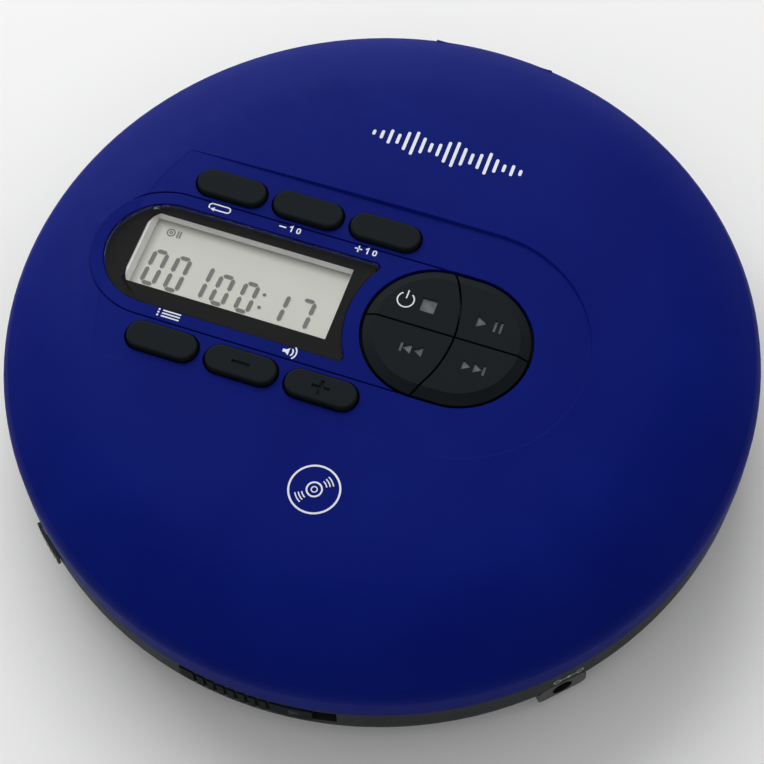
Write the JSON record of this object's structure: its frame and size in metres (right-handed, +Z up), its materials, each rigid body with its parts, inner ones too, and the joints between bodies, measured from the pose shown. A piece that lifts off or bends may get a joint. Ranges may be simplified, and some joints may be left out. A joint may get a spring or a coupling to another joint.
{
  "type": "portable disc player",
  "caption": "Round clamshell portable disc player with a domed hinged lid that carries a display and keys, over a dark base with the disc drive, cell bay and rim controls.",
  "frame": {"origin": "bottom centre: on the plane the feet stand on, under the disc spindle", "axes": "+Z up through the lid; -Y is the front with the lid release; +Y is the hinge; +X is to the right as the display is read"},
  "size_m": [0.14, 0.14, 0.0296],
  "materials": {
    "lid_blue": "satin deep blue",
    "base_grey": "fine matte texture",
    "key_charcoal": "satin",
    "window_clear": "glossy dark lens",
    "bezel_silver": "satin silver",
    "lcd_grey": "reflective display glass",
    "board_green": "solder mask",
    "chip_black": "moulded epoxy",
    "metal_steel": "plain steel",
    "screw_black": "black zinc",
    "spring_steel": "bright wire",
    "rubber_black": "soft rubber",
    "jack_black": "moulded",
    "cell_jacket": "printed jacket",
    "can_metal": "drawn can",
    "drive_black": "moulded",
    "gear_white": "acetal",
    "lens_glass": "coated lens"
  },
  "bodies": {
    "base": {"hinge_spring": "spring_steel", "base_shell": "base_grey", "disc_deck": "drive_black", "battery_cells": "cell_jacket", "battery_springs": "spring_steel", "battery_plates": "spring_steel", "main_board": "board_green", "board_chips": "chip_black", "board_capacitors": "can_metal", "dc_jack": "jack_black", "headphone_jack": "jack_black", "hold_switch": "metal_steel", "slider_spring": "spring_steel", "hinge_pin": "metal_steel", "lid_switch": "drive_black", "chassis_plate": "metal_steel", "rubber_dampers": "rubber_black", "guide_rods": "spring_steel", "spindle_motor": "can_metal", "sled_motor": "can_metal", "idler_pin": "metal_steel", "feet": "rubber_black", "base_screws": "screw_black", "deck_screws": "screw_black", "chassis_screws": "screw_black"},
    "lid": {"lid_shell": "lid_blue", "lid_liner": "base_grey", "display_window": "window_clear", "display_bezel": "bezel_silver", "lcd_panel": "lcd_grey", "control_board": "board_green", "tact_switches": "metal_steel", "lid_screws": "screw_black"},
    "button_mode": {"button_mode": "key_charcoal"},
    "button_skip_back_ten": {"button_skip_back_ten": "key_charcoal"},
    "button_skip_ahead_ten": {"button_skip_ahead_ten": "key_charcoal"},
    "button_program": {"button_program": "key_charcoal"},
    "button_volume_down": {"button_volume_down": "key_charcoal"},
    "button_volume_up": {"button_volume_up": "key_charcoal"},
    "key_stop": {"key_stop": "key_charcoal"},
    "key_play": {"key_play": "key_charcoal"},
    "key_previous": {"key_previous": "key_charcoal"},
    "key_next": {"key_next": "key_charcoal"},
    "release_slider": {"open_slider": "key_charcoal"},
    "hold_control": {"hold_knob": "jack_black"},
    "cell_door": {"battery_door": "base_grey"},
    "spindle": {"spindle_shaft": "metal_steel", "spindle_hub": "drive_black", "hub_clips": "gear_white"},
    "sled": {"pickup_sled": "drive_black", "sled_rack": "gear_white"},
    "lens": {"lens_holder": "drive_black", "objective_lens": "lens_glass"},
    "idler": {"idler_gear": "gear_white"},
    "pinion": {"sled_pinion": "gear_white"}
  },
  "joints": [
    {"name": "lid_open", "type": "hinge", "parent": "base", "child": "lid", "pos_m": [0, 0.0665, 0.0135], "axis": [-1, 0, 0], "range_deg": [0, 65]},
    {"name": "button_mode_press", "type": "slide", "parent": "lid", "child": "button_mode", "axis": [0, 0, -1], "range_m": [0, 0.0005], "stiffness_N_per_m": 400, "springref_m": -0.001},
    {"name": "button_skip_back_ten_press", "type": "slide", "parent": "lid", "child": "button_skip_back_ten", "axis": [0, 0, -1], "range_m": [0, 0.0005], "stiffness_N_per_m": 400, "springref_m": -0.001},
    {"name": "button_skip_ahead_ten_press", "type": "slide", "parent": "lid", "child": "button_skip_ahead_ten", "axis": [0, 0, -1], "range_m": [0, 0.0005], "stiffness_N_per_m": 400, "springref_m": -0.001},
    {"name": "button_program_press", "type": "slide", "parent": "lid", "child": "button_program", "axis": [0, 0, -1], "range_m": [0, 0.0005], "stiffness_N_per_m": 400, "springref_m": -0.001},
    {"name": "button_volume_down_press", "type": "slide", "parent": "lid", "child": "button_volume_down", "axis": [0, 0, -1], "range_m": [0, 0.0005], "stiffness_N_per_m": 400, "springref_m": -0.001},
    {"name": "button_volume_up_press", "type": "slide", "parent": "lid", "child": "button_volume_up", "axis": [0, 0, -1], "range_m": [0, 0.0005], "stiffness_N_per_m": 400, "springref_m": -0.001},
    {"name": "key_stop_press", "type": "slide", "parent": "lid", "child": "key_stop", "axis": [0, 0, -1], "range_m": [0, 0.0005], "stiffness_N_per_m": 400, "springref_m": -0.001},
    {"name": "key_play_press", "type": "slide", "parent": "lid", "child": "key_play", "axis": [0, 0, -1], "range_m": [0, 0.0005], "stiffness_N_per_m": 400, "springref_m": -0.001},
    {"name": "key_previous_press", "type": "slide", "parent": "lid", "child": "key_previous", "axis": [0, 0, -1], "range_m": [0, 0.0005], "stiffness_N_per_m": 400, "springref_m": -0.001},
    {"name": "key_next_press", "type": "slide", "parent": "lid", "child": "key_next", "axis": [0, 0, -1], "range_m": [0, 0.0005], "stiffness_N_per_m": 400, "springref_m": -0.001},
    {"name": "release_slide", "type": "hinge", "parent": "base", "child": "release_slider", "pos_m": [0, 0, 0.0105], "axis": [0, 0, 1], "range_deg": [0, 3.2], "stiffness_Nm_per_rad": 1.5, "springref_deg": -2.86},
    {"name": "hold_slide", "type": "hinge", "parent": "base", "child": "hold_control", "pos_m": [0, 0, 0.01], "axis": [0, 0, 1], "range_deg": [0, 2]},
    {"name": "cell_door_open", "type": "hinge", "parent": "base", "child": "cell_door", "pos_m": [-0.0286, 0, 0.0016], "axis": [0, -1, 0], "range_deg": [0, 90]},
    {"name": "spindle_turn", "type": "hinge", "parent": "base", "child": "spindle", "pos_m": [0, 0, 0.015], "axis": [0, 0, 1], "continuous": true},
    {"name": "sled_travel", "type": "slide", "parent": "base", "child": "sled", "axis": [1, 0, 0], "range_m": [0, 0.0335]},
    {"name": "lens_focus", "type": "slide", "parent": "sled", "child": "lens", "axis": [0, 0, 1], "range_m": [-0.0007, 0.0007], "stiffness_N_per_m": 40},
    {"name": "idler_turn", "type": "hinge", "parent": "base", "child": "idler", "pos_m": [0.027, -0.0198, 0.008], "axis": [0, 0, 1], "range_deg": [-460, 5]},
    {"name": "pinion_turn", "type": "hinge", "parent": "base", "child": "pinion", "pos_m": [0.03895, -0.02983, 0.0066], "axis": [0, 0, 1], "range_deg": [-15, 1535]}
  ],
  "couplings": [
    {"joint": "idler_turn", "follows": "sled_travel", "rad_per_m": -238.1},
    {"joint": "pinion_turn", "follows": "sled_travel", "rad_per_m": 793.65}
  ]
}
